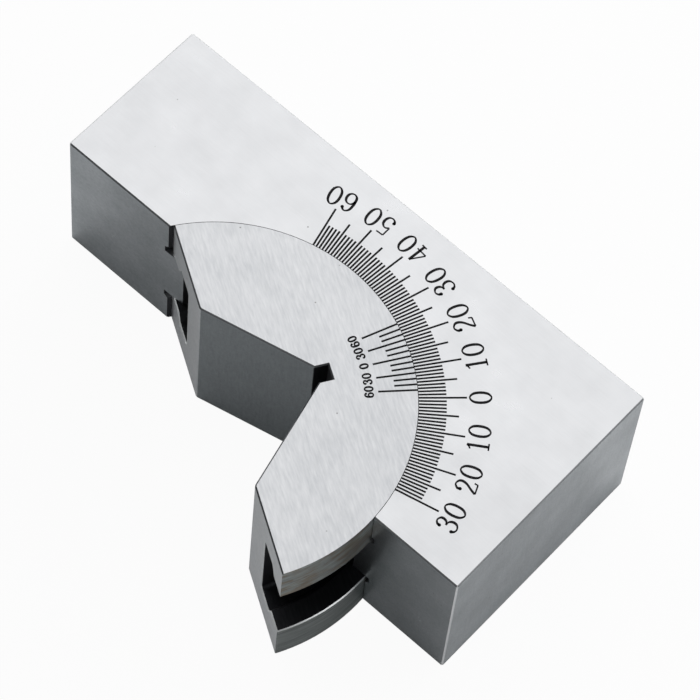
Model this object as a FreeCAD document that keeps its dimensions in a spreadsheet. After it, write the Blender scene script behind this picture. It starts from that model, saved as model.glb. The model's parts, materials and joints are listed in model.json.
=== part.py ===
import FreeCAD, Part
import os
import re
import Sketcher

# Adjustable-angle vee block, millimetres, +Z up.
#
# A stepped steel block lies on its side with its graduated face up.  A round pocket opens
# through its front.  In the pocket turns a segment-shaped rotor with a 90 degree vee, held
# by an arc shoe in the tee slot round its rim.  Two cap screws from the back draw the shoe
# outward, which pulls the rotor against the pocket wall and locks the angle.
#
# Block, rotor and shoe are modelled about the pivot: local Z is the pivot axis, local z = 0
# the base plane, and local +Y points from the pivot into the block.  Placements then carry
# them to the part's frame, whose origin is the middle of the bounding box at the base.

SIZES = {
    # Block outline
    "block_length": 100.0,
    "block_depth": 46.0,
    "block_height": 32.0,
    "left_arm_setback": 16.0,
    "pivot_from_left": 50.0,
    "pivot_before_front": 1.75,
    "edge_break": 0.25,
    # Pocket and its guide tongue
    "pocket_radius": 32.5,
    "running_clearance": 0.1,
    "tongue_stand": 2.9,
    "tongue_height": 13.7,
    "relief_depth": 0.65,
    "relief_floor": 1.4,
    # Rotor
    "chord_offset": 1.7,
    "vee_mouth": 32.8,
    "vee_angle": 90.0,
    "vee_relief_width": 2.7,
    "vee_relief_bottom": 19.05,
    "rest_reading": 13.5,
    # Tee slot round the rotor's rim
    "slot_side_clearance": 0.15,
    "slot_neck_depth": 3.8,
    "slot_ledge_taper": 1.1,
    "slot_ledge_step": 2.3,
    "slot_total_depth": 9.3,
    "slot_corner_radius": 0.8,
    "mouth_edge_break": 0.2,
    # Clamp shoe
    "shoe_span": 64.0,
    "shoe_floor_clearance": 0.3,
    "shoe_side_clearance": 0.15,
    "shoe_tongue_gap": 0.3,
    # Clamp screws, M6 x 16 socket head cap
    "screw_spacing": 20.0,
    "screw_radius": 3.0,
    "screw_length": 16.0,
    "screw_point": 0.6,
    "head_radius": 5.0,
    "head_height": 6.0,
    "head_bevel": 0.5,
    "hex_key": 5.0,
    "hex_depth": 3.0,
    "screw_tip_clearance": 1.25,
    "counterbore_clearance": 0.5,
    "screw_hole_clearance": 0.3,
    "thread_clearance": 0.05,
    # Engraved scale on the block, in degrees about the pivot from +X
    "vee_at_zero": 45.0,
    "scale_zero": 43.8,
    "scale_low": 30.0,
    "scale_high": 60.0,
    "line_width": 0.35,
    "line_depth": 0.1,
    "line_degree": 4.5,
    "line_five": 6.5,
    "line_ten": 7.8,
    # Engraved vernier on the rotor: each division is 10 minutes short of two degrees
    "vernier_span": 22.0,
    "vernier_short": 3.7,
    "vernier_long": 6.4,
}

DEGREE_STEP = 1
FIVE_STEP = 5
TEN_STEP = 10
VERNIER_DIVISIONS = 12
VERNIER_LONG_EVERY = 3
SIDES = {"left": -1, "right": 1}

# Formulas shared by more than one piece, in the sheet's names.
ROTOR_RADIUS = "(pocket_radius - running_clearance)"
MID = "block_height / 2"
TONGUE_RADIUS = "(pocket_radius - tongue_stand)"
NECK_HALF = "(tongue_height / 2 + slot_side_clearance)"
NECK_FLOOR = f"({ROTOR_RADIUS} - slot_neck_depth)"
LEDGE_FLOOR = f"({NECK_FLOOR} - slot_ledge_taper)"
SLOT_HALF = f"({NECK_HALF} + slot_ledge_step)"
SLOT_FLOOR = f"({ROTOR_RADIUS} - slot_total_depth)"
REST_ANGLE = "(vee_at_zero + rest_reading)"
BACK_FACE = "(pivot_before_front + block_depth)"
HALF_CHORD = f"sqrt({ROTOR_RADIUS} ^ 2 - chord_offset ^ 2)"
FRONT_REACH = f"({HALF_CHORD} * cos({REST_ANGLE}) - chord_offset * sin({REST_ANGLE}))"
SCREW_X = "(screw_spacing / 2)"
SCREW_TIP = f"(sqrt({SLOT_FLOOR} ^ 2 - ({SCREW_X} - screw_radius) ^ 2) + screw_tip_clearance)"
SCREW_SEAT = f"({SCREW_TIP} + screw_length)"
PIVOT_X = "pivot_from_left - block_length / 2"
PIVOT_Y = f"({FRONT_REACH} - {BACK_FACE}) / 2"

doc = FreeCAD.newDocument("vee_block")
sheet = doc.addObject("Spreadsheet::Sheet", "sizes")
for row, (alias, value) in enumerate(SIZES.items(), start=1):
    sheet.set(f"A{row}", alias)
    sheet.set(f"B{row}", str(value))
    sheet.setAlias(f"B{row}", alias)
doc.recompute()

NAMES = re.compile(r"\b(" + "|".join(SIZES) + r")\b")


def bind(obj, prop, formula):
    """Tie a property to a formula in the sheet's names."""
    obj.setExpression(prop, NAMES.sub(r"sizes.\1", formula))


def new_body(name):
    body = doc.addObject("PartDesign::Body", name)
    body.Label = name
    return body


def origin_feature(body, role):
    return next(f for f in body.Origin.OriginFeatures if f.Role == role)


def new_sketch(body, name, role, offset=None, turn=None):
    """A sketch on one of the body's own origin planes, raised by offset and turned by turn."""
    sketch = body.newObject("Sketcher::SketchObject", name)
    sketch.AttachmentSupport = [(origin_feature(body, role), "")]
    sketch.MapMode = "FlatFace"
    if turn:
        sketch.AttachmentOffset = FreeCAD.Placement(
            FreeCAD.Vector(), FreeCAD.Rotation(FreeCAD.Vector(0, 0, 1), 1)
        )
        bind(sketch, "AttachmentOffset.Rotation.Angle", turn)
    if offset:
        bind(sketch, "AttachmentOffset.Base.z", offset)
    return sketch


def place_point(sketch, geometry, vertex, x, y, name):
    """Fix one vertex at the formulas x and y, measured from the sketch's origin."""
    for axis, kind, line, formula in (("x", "DistanceX", -2, x), ("y", "DistanceY", -1, y)):
        if formula == "0":
            sketch.addConstraint(Sketcher.Constraint("PointOnObject", geometry, vertex, line))
            continue
        sketch.addConstraint(Sketcher.Constraint(kind, -1, 1, geometry, vertex, 1.0))
        label = f"{name}_{axis}"
        sketch.renameConstraint(sketch.ConstraintCount - 1, label)
        bind(sketch, f"Constraints.{label}", formula)


def add_polygon(sketch, points):
    """A closed outline of straight lines, each corner placed by two formulas."""
    count = len(points)
    start = sketch.GeometryCount
    corners = [FreeCAD.Vector(i + 1, i * i + 1, 0) for i in range(count)]
    for i in range(count):
        sketch.addGeometry(Part.LineSegment(corners[i], corners[(i + 1) % count]))
    for i in range(count):
        sketch.addConstraint(
            Sketcher.Constraint("Coincident", start + i, 2, start + (i + 1) % count, 1)
        )
    for i, (x, y) in enumerate(points):
        place_point(sketch, start + i, 1, x, y, f"corner{start + i}")


def add_circle(sketch, x, y, radius):
    index = sketch.addGeometry(
        Part.Circle(FreeCAD.Vector(1, 1, 0), FreeCAD.Vector(0, 0, 1), 1)
    )
    place_point(sketch, index, 3, x, y, f"centre{index}")
    sketch.addConstraint(Sketcher.Constraint("Radius", index, 1.0))
    sketch.renameConstraint(sketch.ConstraintCount - 1, f"radius{index}")
    bind(sketch, f"Constraints.radius{index}", radius)


def mirrored_up(points):
    """Complete a half section (radius, height above mid height) to the one below it."""
    upper = [(r, f"{MID} + ({height})") for r, height in points]
    lower = [(r, f"{MID} - ({height})") for r, height in reversed(points)]
    return lower + upper


def revolve(body, kind, sketch, name):
    """Revolution or Groove of a section about the pivot or screw axis."""
    feature = body.newObject(kind, name)
    feature.Profile = sketch
    feature.ReferenceAxis = (sketch, ["V_Axis"])
    feature.Angle = 360
    return feature


def pocket(body, sketch, name, depth=None, reverse=False):
    """Cut a sketch into the solid, to a depth or right through, and check that it cuts."""
    doc.recompute()
    before = body.Shape.Volume
    feature = body.newObject("PartDesign::Pocket", name)
    feature.Profile = sketch
    feature.Reversed = reverse
    if depth:
        bind(feature, "Length", depth)
    else:
        feature.Type = "ThroughAll"
    doc.recompute()
    if body.Shape.Volume >= before:
        raise RuntimeError(f"{name} cuts nothing")
    return feature


def dress_edges(body, kind, name, prop, size, wanted):
    """Fillet or chamfer every edge of the body's present solid that the test picks."""
    doc.recompute()
    base = body.Tip
    edges = [f"Edge{i}" for i, edge in enumerate(base.Shape.Edges, start=1) if wanted(edge)]
    feature = body.newObject(kind, name)
    feature.Base = (base, edges)
    bind(feature, prop, size)
    doc.recompute()


def lies_at(edge, height):
    return all(abs(v.Z - height) < 1e-6 for v in edge.Vertexes)


def lies_on_chord(edge):
    return all(abs(v.Y - SIZES["chord_offset"]) < 1e-6 for v in edge.Vertexes)


def starts_inside(edge, radius):
    return any(v.X ** 2 + v.Y ** 2 < radius ** 2 - 1e-6 for v in edge.Vertexes)


def is_upright(edge):
    return abs(edge.BoundBox.ZLength - edge.Length) < 1e-6


def is_round(edge, radius):
    return hasattr(edge.Curve, "Radius") and abs(edge.Curve.Radius - radius) < 1e-6


def engrave_lines(body, name, inner, outer, first, span, divisions):
    """A fan of radial lines in the top face: so many divisions over span degrees from first."""
    sketch = new_sketch(body, f"{name}_sketch", "XY_Plane", "block_height", first)
    add_polygon(sketch, [
        (inner, "-line_width / 2"),
        (outer, "-line_width / 2"),
        (outer, "line_width / 2"),
        (inner, "line_width / 2"),
    ])
    line = pocket(body, sketch, name, "line_depth")
    fan = body.newObject("PartDesign::PolarPattern", f"{name}_fan")
    fan.Originals = [line]
    fan.Axis = (origin_feature(body, "Z_Axis"), [""])
    bind(fan, "Angle", span)
    fan.Occurrences = round(divisions) + 1
    body.Tip = fan
    doc.recompute()


# ---------------------------------------------------------------- block
block = new_body("block")

outline = new_sketch(block, "block_outline", "XY_Plane")
add_polygon(outline, [
    ("-pivot_from_left", "pivot_before_front + left_arm_setback"),
    ("0", "pivot_before_front + left_arm_setback"),
    ("0", "pivot_before_front"),
    ("block_length - pivot_from_left", "pivot_before_front"),
    ("block_length - pivot_from_left", BACK_FACE),
    ("-pivot_from_left", BACK_FACE),
])
body_pad = block.newObject("PartDesign::Pad", "block_pad")
body_pad.Profile = outline
bind(body_pad, "Length", "block_height")

# The pocket's section: plain wall, a relief groove, then the guide tongue at mid height.
pocket_section = new_sketch(block, "pocket_section", "XZ_Plane")
relief_top = "tongue_height / 2 + relief_floor + relief_depth"
add_polygon(pocket_section, [("0", "0"), ("pocket_radius", "0")] + mirrored_up([
    (TONGUE_RADIUS, "tongue_height / 2"),
    ("pocket_radius + relief_depth", "tongue_height / 2"),
    ("pocket_radius + relief_depth", "tongue_height / 2 + relief_floor"),
    ("pocket_radius", relief_top),
]) + [("pocket_radius", "block_height"), ("0", "block_height")])
revolve(block, "PartDesign::Groove", pocket_section, "pocket_groove")

counterbores = new_sketch(block, "counterbore_sketch", "XZ_Plane", f"-{BACK_FACE}")
for side in SIDES.values():
    add_circle(counterbores, f"{side} * {SCREW_X}", MID,
               "head_radius + counterbore_clearance")
pocket(block, counterbores, "counterbores", f"{BACK_FACE} - {SCREW_SEAT}", reverse=True)

screw_holes = new_sketch(block, "screw_hole_sketch", "XZ_Plane", f"-{BACK_FACE}")
for side in SIDES.values():
    add_circle(screw_holes, f"{side} * {SCREW_X}", MID,
               "screw_radius + screw_hole_clearance")
pocket(block, screw_holes, "screw_holes", reverse=True)

# The pocket and rotor rims stay sharp, so that the two scales meet in a hairline.
height = SIZES["block_height"]
dress_edges(block, "PartDesign::Chamfer", "block_edge_break", "Size", "edge_break", lambda edge: (
    (lies_at(edge, 0) or lies_at(edge, height)) and not is_round(edge, SIZES["pocket_radius"])
    or (is_upright(edge) and abs(edge.Length - height) < 1e-6)
))

# Main scale: each longer line only adds its own extra reach beyond the shorter ones.
scale_start = "scale_zero - scale_low"
scale_span = "scale_low + scale_high"
total_degrees = SIZES["scale_low"] + SIZES["scale_high"]
reach = "pocket_radius"
for name, length, step in (
    ("degree_line", "line_degree", DEGREE_STEP),
    ("five_line", "line_five", FIVE_STEP),
    ("ten_line", "line_ten", TEN_STEP),
):
    inner = f"{reach} - line_width"
    reach = f"pocket_radius + {length}"
    engrave_lines(block, name, inner, reach, scale_start, scale_span, total_degrees / step)

# ---------------------------------------------------------------- rotor
rotor = new_body("rotor")

rotor_section = new_sketch(rotor, "rotor_section", "XZ_Plane")
add_polygon(rotor_section, [("0", "0"), (ROTOR_RADIUS, "0")] + [
    (ROTOR_RADIUS, f"{MID} - {NECK_HALF}"),
    (NECK_FLOOR, f"{MID} - {NECK_HALF}"),
    (LEDGE_FLOOR, f"{MID} - {SLOT_HALF}"),
    (SLOT_FLOOR, f"{MID} - {SLOT_HALF}"),
    (SLOT_FLOOR, f"{MID} + {SLOT_HALF}"),
    (LEDGE_FLOOR, f"{MID} + {SLOT_HALF}"),
    (NECK_FLOOR, f"{MID} + {NECK_HALF}"),
    (ROTOR_RADIUS, f"{MID} + {NECK_HALF}"),
] + [(ROTOR_RADIUS, "block_height"), ("0", "block_height")])
revolve(rotor, "PartDesign::Revolution", rotor_section, "rotor_disc")

rim = SIZES["pocket_radius"] - SIZES["running_clearance"]
slot_floor = rim - SIZES["slot_total_depth"]
dress_edges(rotor, "PartDesign::Fillet", "slot_corners", "Radius", "slot_corner_radius",
            lambda edge: is_round(edge, slot_floor))

# Everything in front of the chord, the vee behind it and the relief slot at its root.
front_cut = new_sketch(rotor, "front_cut", "XY_Plane")
clear_of_disc = "(pocket_radius + running_clearance)"
relief_mouth = "chord_offset + (vee_mouth - vee_relief_width) / 2 / tan(vee_angle / 2)"
add_polygon(front_cut, [
    (f"-{clear_of_disc}", "chord_offset"),
    ("-vee_mouth / 2", "chord_offset"),
    ("-vee_relief_width / 2", relief_mouth),
    ("-vee_relief_width / 2", "vee_relief_bottom"),
    ("vee_relief_width / 2", "vee_relief_bottom"),
    ("vee_relief_width / 2", relief_mouth),
    ("vee_mouth / 2", "chord_offset"),
    (clear_of_disc, "chord_offset"),
    (clear_of_disc, f"-{clear_of_disc}"),
    (f"-{clear_of_disc}", f"-{clear_of_disc}"),
])
pocket(rotor, front_cut, "chord_and_vee", reverse=True)

# The vee's and the tee slot's mouths are broken, and the rim's upright corners stay sharp.
dress_edges(rotor, "PartDesign::Chamfer", "mouth_edge_break", "Size", "mouth_edge_break",
            lambda edge: not (lies_at(edge, 0) or lies_at(edge, height))
            and (lies_on_chord(edge) and starts_inside(edge, rim) or is_round(edge, rim)))
dress_edges(rotor, "PartDesign::Chamfer", "rotor_edge_break", "Size", "edge_break",
            lambda edge: (lies_at(edge, 0) or lies_at(edge, height)) and not is_round(edge, rim))

# The vernier's zero meets the scale's zero when the vee stands at its zero direction.
vernier_first = "90 + scale_zero - vee_at_zero - vernier_span / 2"
engrave_lines(rotor, "vernier_line", f"{ROTOR_RADIUS} - vernier_short", "pocket_radius",
              vernier_first, "vernier_span", VERNIER_DIVISIONS)
engrave_lines(rotor, "vernier_long_line", f"{ROTOR_RADIUS} - vernier_long",
              f"{ROTOR_RADIUS} - vernier_short + line_width",
              vernier_first, "vernier_span", VERNIER_DIVISIONS / VERNIER_LONG_EVERY)

# ---------------------------------------------------------------- clamp shoe
clamp_shoe = new_body("clamp_shoe")

# A tee section: wide foot under the slot's tapered ledges, stem in the neck.
shoe_section = new_sketch(clamp_shoe, "shoe_section", "YZ_Plane")
stem_half = f"{NECK_HALF} - shoe_side_clearance"
foot_half = f"{SLOT_HALF} - shoe_side_clearance"
foot_floor = f"{SLOT_FLOOR} + shoe_floor_clearance"
corner = "slot_corner_radius"
add_polygon(shoe_section, mirrored_up([
    (foot_floor, f"{foot_half} - {corner}"),
    (f"{foot_floor} + {corner}", foot_half),
    (f"{LEDGE_FLOOR} - running_clearance", foot_half),
    (f"{NECK_FLOOR} - running_clearance", stem_half),
    (f"{TONGUE_RADIUS} - shoe_tongue_gap", stem_half),
]))
shoe_arc = revolve(clamp_shoe, "PartDesign::Revolution", shoe_section, "shoe_arc")
shoe_arc.Midplane = True
bind(shoe_arc, "Angle", "shoe_span")

tapped_holes = new_sketch(clamp_shoe, "tapped_hole_sketch", "XZ_Plane")
for side in SIDES.values():
    add_circle(tapped_holes, f"{side} * {SCREW_X}", MID,
               "screw_radius + thread_clearance")
pocket(clamp_shoe, tapped_holes, "tapped_holes")

for body in (block, rotor, clamp_shoe):
    bind(body, "Placement.Base.x", PIVOT_X)
    bind(body, "Placement.Base.y", PIVOT_Y)
rotor.Placement = FreeCAD.Placement(
    FreeCAD.Vector(), FreeCAD.Rotation(FreeCAD.Vector(0, 0, 1), 1)
)
bind(rotor, "Placement.Rotation.Angle", f"{REST_ANGLE} - 90")


# ---------------------------------------------------------------- clamp screws
def make_screw(name, side):
    """A socket head cap screw, its head seated in the counterbore and its axis along Y."""
    screw = new_body(name)
    section = new_sketch(screw, f"{name}_section", "XZ_Plane")
    add_polygon(section, [
        ("0", "-screw_length"),
        ("screw_radius - screw_point", "-screw_length"),
        ("screw_radius", "-screw_length + screw_point"),
        ("screw_radius", "0"),
        ("head_radius", "0"),
        ("head_radius", "head_height - head_bevel"),
        ("head_radius - head_bevel", "head_height"),
        ("0", "head_height"),
    ])
    revolve(screw, "PartDesign::Revolution", section, f"{name}_turned")
    socket = new_sketch(screw, f"{name}_socket_sketch", "XY_Plane", "head_height")
    add_polygon(socket, [
        (f"hex_key / sqrt(3) * cos({60 * i + 30})", f"hex_key / sqrt(3) * sin({60 * i + 30})")
        for i in range(6)
    ])
    pocket(screw, socket, f"{name}_socket", "hex_depth")
    screw.Placement = FreeCAD.Placement(
        FreeCAD.Vector(), FreeCAD.Rotation(FreeCAD.Vector(1, 0, 0), -90)
    )
    bind(screw, "Placement.Base.x", f"{PIVOT_X} + {side} * {SCREW_X}")
    bind(screw, "Placement.Base.y", f"{PIVOT_Y} + {SCREW_SEAT}")
    bind(screw, "Placement.Base.z", MID)
    return screw


screws = [make_screw(f"clamp_screw_{name}", side) for name, side in SIDES.items()]

# ---------------------------------------------------------------- check and export
doc.recompute()
for obj in doc.Objects:
    if "Invalid" in obj.State or "Error" in obj.State:
        raise RuntimeError(f"{obj.Name} failed to build: {obj.State}")

os.makedirs("parts", exist_ok=True)
for body in [block, rotor, clamp_shoe] + screws:
    if body.Shape.isNull() or not body.Shape.isValid() or len(body.Shape.Solids) != 1:
        raise RuntimeError(f"{body.Label} is not one sound solid")
    body.Shape.exportStep(f"parts/{body.Label}.step")
    box = body.Shape.BoundBox
    print(f"{body.Label}: volume {body.Shape.Volume:.1f}, "
          f"x {box.XMin:.3f} {box.XMax:.3f}, y {box.YMin:.3f} {box.YMax:.3f}, "
          f"z {box.ZMin:.3f} {box.ZMax:.3f}")
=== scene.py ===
"""Looks of an adjustable-angle vee block: ground steel, engraved scales and blackened screws.

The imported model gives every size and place.  This script dresses its solids, adds what is too
fine for them (paint in the engraved lines, numerals, knurled and threaded screws) and sets up
a plain studio.  Places are in the model's own frame.  Lengths are metres, apart from those
whose name ends in mm and those of classes that say millimetres.
"""

import json
import logging
import math
from dataclasses import dataclass, field
from enum import Enum
from functools import reduce
from typing import Any, Callable, Sequence

import bmesh
import bpy
from bpy.types import NodeSocket, NodeTree
from mathutils import Matrix, Vector

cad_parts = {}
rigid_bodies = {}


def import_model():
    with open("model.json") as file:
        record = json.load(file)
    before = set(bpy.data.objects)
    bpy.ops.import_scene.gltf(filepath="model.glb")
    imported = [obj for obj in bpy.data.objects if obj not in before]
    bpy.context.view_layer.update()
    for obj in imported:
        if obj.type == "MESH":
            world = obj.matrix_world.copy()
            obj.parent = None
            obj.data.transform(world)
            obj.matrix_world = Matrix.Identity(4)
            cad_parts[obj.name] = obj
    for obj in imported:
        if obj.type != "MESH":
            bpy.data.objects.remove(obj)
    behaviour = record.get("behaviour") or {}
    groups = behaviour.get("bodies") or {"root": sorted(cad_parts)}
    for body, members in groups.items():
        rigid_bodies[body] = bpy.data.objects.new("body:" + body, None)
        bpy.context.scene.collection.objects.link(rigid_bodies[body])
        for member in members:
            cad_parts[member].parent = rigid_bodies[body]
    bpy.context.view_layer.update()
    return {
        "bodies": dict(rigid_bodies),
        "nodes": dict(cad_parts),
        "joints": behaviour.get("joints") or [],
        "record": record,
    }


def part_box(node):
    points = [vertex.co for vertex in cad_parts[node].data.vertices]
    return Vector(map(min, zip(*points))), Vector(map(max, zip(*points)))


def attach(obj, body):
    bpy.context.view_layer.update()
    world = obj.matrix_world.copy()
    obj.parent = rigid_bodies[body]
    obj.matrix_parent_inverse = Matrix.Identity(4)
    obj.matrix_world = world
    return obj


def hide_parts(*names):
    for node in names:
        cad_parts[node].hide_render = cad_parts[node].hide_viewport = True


LOG = logging.getLogger("vee_block")
MM = 0.001
UP = Vector((0.0, 0.0, 1.0))
SLOPE_STARTS, SLOPE_ENDS = 0.5, 0.9     # cosines to upright between which a face is an edge break
LAMP_TARGET = Vector((0.0, 0.0, 0.016))
WHITE = (1.0, 1.0, 1.0, 1.0)


# ------------------------------------------------------------------ shared helpers
def srgb(hex_code: str) -> tuple[float, float, float, float]:
    """Turn an sRGB hex colour into the linear RGBA that shaders take.

    Args:
        hex_code: six hexadecimal digits, with or without a leading hash.

    Returns:
        Linear red, green and blue with an alpha of 1.
    """
    digits = hex_code.lstrip("#")
    channels = [int(digits[i:i + 2], 16) / 255 for i in (0, 2, 4)]
    linear = [c / 12.92 if c <= 0.04045 else ((c + 0.055) / 1.055) ** 2.4 for c in channels]
    return (linear[0], linear[1], linear[2], 1.0)


def add_node(tree: NodeTree, kind: str, settings: dict[str, Any] | None = None,
             **inputs: Any) -> bpy.types.Node:
    """Add a node, set its properties, and set or link its inputs.

    Args:
        tree: the node tree that the node joins.
        kind: the node's type name.
        settings: property names and values of the node itself.
        **inputs: input names, with spaces as underscores, or in0, in1... for an input's
            index.  A value is either a number or colour, or an output socket to link.

    Returns:
        The new node.
    """
    node = tree.nodes.new(kind)
    for name, value in (settings or {}).items():
        setattr(node, name, value)
    for name, value in inputs.items():
        is_index = name.startswith("in") and name[2:].isdigit()
        socket = node.inputs[int(name[2:])] if is_index else node.inputs[name.replace("_", " ")]
        if isinstance(value, NodeSocket):
            tree.links.new(value, socket)
        else:
            socket.default_value = value
    return node


def new_material(name: str) -> tuple[bpy.types.Material, NodeTree]:
    """Make an empty node material; returns it and its tree."""
    material = bpy.data.materials.new(name)
    material.use_nodes = True
    material.node_tree.nodes.clear()
    return material, material.node_tree


def finish_material(tree: NodeTree, shader: NodeSocket) -> None:
    """Link a shader to the tree's material output."""
    add_node(tree, "ShaderNodeOutputMaterial", Surface=shader)


def math_node(tree: NodeTree, operation: str, *values: Any, clamp: bool = False) -> Any:
    """Add a Math node over one to three values; returns its output socket."""
    inputs = {f"in{i}": value for i, value in enumerate(values)}
    node = add_node(tree, "ShaderNodeMath", {"operation": operation, "use_clamp": clamp}, **inputs)
    return node.outputs[0]


def vector_node(tree: NodeTree, operation: str, *values: Any) -> Any:
    """Add a Vector Math node; returns its output, a number for a length or a dot product."""
    inputs = {f"in{i}": value for i, value in enumerate(values)}
    node = add_node(tree, "ShaderNodeVectorMath", {"operation": operation}, **inputs)
    return node.outputs[1 if operation in ("LENGTH", "DOT_PRODUCT") else 0]


def combine(tree: NodeTree, x: Any, y: Any, z: Any) -> Any:
    """Join three numbers into a vector; returns its socket."""
    return add_node(tree, "ShaderNodeCombineXYZ", X=x, Y=y, Z=z).outputs[0]


def blend(tree: NodeTree, share: Any, low: Any, high: Any) -> Any:
    """Mix two colours by a share from 0 to 1; returns the colour socket."""
    mix = add_node(tree, "ShaderNodeMix", {"data_type": "RGBA"}, in0=share, in6=low, in7=high)
    return mix.outputs[2]


def noise(tree: NodeTree, place: Any, size: float, detail: float,
          roughness: float = 0.5) -> Any:
    """Add noise with features of about a size; returns its value from 0 to 1."""
    return add_node(tree, "ShaderNodeTexNoise", Vector=place, Scale=1 / size, Detail=detail,
                    Roughness=roughness).outputs[0]


def spread(tree: NodeTree, value: Any, given: tuple[float, float],
           wanted: tuple[float, float] = (0.0, 1.0)) -> Any:
    """Map a value from one range onto another, held at the ends; returns the output."""
    return add_node(tree, "ShaderNodeMapRange", Value=value, From_Min=given[0],
                    From_Max=given[1], To_Min=wanted[0], To_Max=wanted[1]).outputs[0]


def laid_out(tree: NodeTree, place: Any, size: Sequence[float] = (1.0, 1.0, 1.0),
             turn: float = 0.0) -> Any:
    """Measure places in steps of a size, along axes turned about the upright one."""
    return add_node(tree, "ShaderNodeMapping", {"vector_type": "TEXTURE"}, Vector=place,
                    Rotation=(0.0, 0.0, turn), Scale=size).outputs[0]


def heading(degrees: float) -> tuple[float, float, float]:
    """Give the level unit vector at an angle from the block's length."""
    return (math.cos(math.radians(degrees)), math.sin(math.radians(degrees)), 0.0)


def mesh_object(name: str, mesh: bpy.types.Mesh, material: bpy.types.Material) -> bpy.types.Object:
    """Link a mesh into the scene as an object at the origin, with one material.

    Args:
        name: the piece's name.
        mesh: its geometry, already in place.
        material: the finish that it wears.

    Returns:
        The new object.
    """
    mesh.materials.clear()
    mesh.materials.append(material)
    piece = bpy.data.objects.new(name, mesh)
    bpy.context.scene.collection.objects.link(piece)
    return piece


class ShapeTree:
    """A Geometry Nodes tree with named inputs, run on a piece and then baked into its mesh."""

    KINDS = {
        bool: "NodeSocketBool", int: "NodeSocketInt", float: "NodeSocketFloat",
        Vector: "NodeSocketVector",
    }

    def __init__(self, name: str, inputs: dict[str, Any]) -> None:
        """Make the tree and its inputs.

        Args:
            name: the tree's name.
            inputs: each input's name and its usual value; the value's type gives its kind.
        """
        self.tree = bpy.data.node_groups.new(name, "GeometryNodeTree")
        face = self.tree.interface
        face.new_socket("Geometry", in_out="INPUT", socket_type="NodeSocketGeometry")
        self.keys: dict[str, str] = {}
        for label, value in inputs.items():
            socket = face.new_socket(label, in_out="INPUT", socket_type=self.KINDS[type(value)])
            socket.default_value = value
            self.keys[label] = socket.identifier
        paint = face.new_socket("Material", in_out="INPUT", socket_type="NodeSocketMaterial")
        self.keys["Material"] = paint.identifier
        face.new_socket("Geometry", in_out="OUTPUT", socket_type="NodeSocketGeometry")
        self.given = self.tree.nodes.new("NodeGroupInput").outputs

    def close(self, geometry: NodeSocket) -> None:
        """End the tree: instances become real, and everything takes the Material input.

        Args:
            geometry: what the tree has made.
        """
        real = add_node(self.tree, "GeometryNodeRealizeInstances", Geometry=geometry)
        painted = add_node(self.tree, "GeometryNodeSetMaterial", Geometry=real.outputs[0],
                           Material=self.given["Material"])
        add_node(self.tree, "NodeGroupOutput", Geometry=painted.outputs[0])

    def bake(self, piece: bpy.types.Object, values: dict[str, Any]) -> bpy.types.Object:
        """Run the tree on a piece and keep the result as its plain mesh.

        Args:
            piece: an object whose mesh is the tree's Geometry input and whose first
                material is the tree's Material input.
            values: the inputs that differ from the usual ones.

        Returns:
            The same piece, with no modifier left.
        """
        modifier = piece.modifiers.new(self.tree.name, "NODES")
        modifier.node_group = self.tree
        for label, value in values.items():
            modifier[self.keys[label]] = value
        modifier[self.keys["Material"]] = piece.data.materials[0]
        bpy.context.view_layer.update()
        evaluated = piece.evaluated_get(bpy.context.evaluated_depsgraph_get())
        mesh = bpy.data.meshes.new_from_object(evaluated)
        piece.modifiers.clear()
        piece.data = mesh
        return piece


def place_piece(piece: bpy.types.Object, body: str) -> None:
    """Hang a finished piece on a body, and log it.

    Args:
        piece: the piece, already in place.
        body: the body that it moves with.
    """
    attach(piece, body)
    LOG.info("%s: %d faces on body %s", piece.name, len(piece.data.polygons), body)


# ------------------------------------------------------------------ finishes
class Lay(Enum):
    """The way the grinding wheel travelled over a part, in degrees from the block's length."""

    ALONG_BLOCK = 0.0
    ALONG_CHORD = -31.5


@dataclass(frozen=True)
class Tint:
    """A finish's colours where its pattern is darkest and brightest."""

    low: str
    high: str

    def colour(self, tree: NodeTree, pattern: Any) -> Any:
        """Spread the two colours over a pattern from 0 to 1; returns the colour socket."""
        return blend(tree, pattern, srgb(self.low), srgb(self.high))


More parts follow.
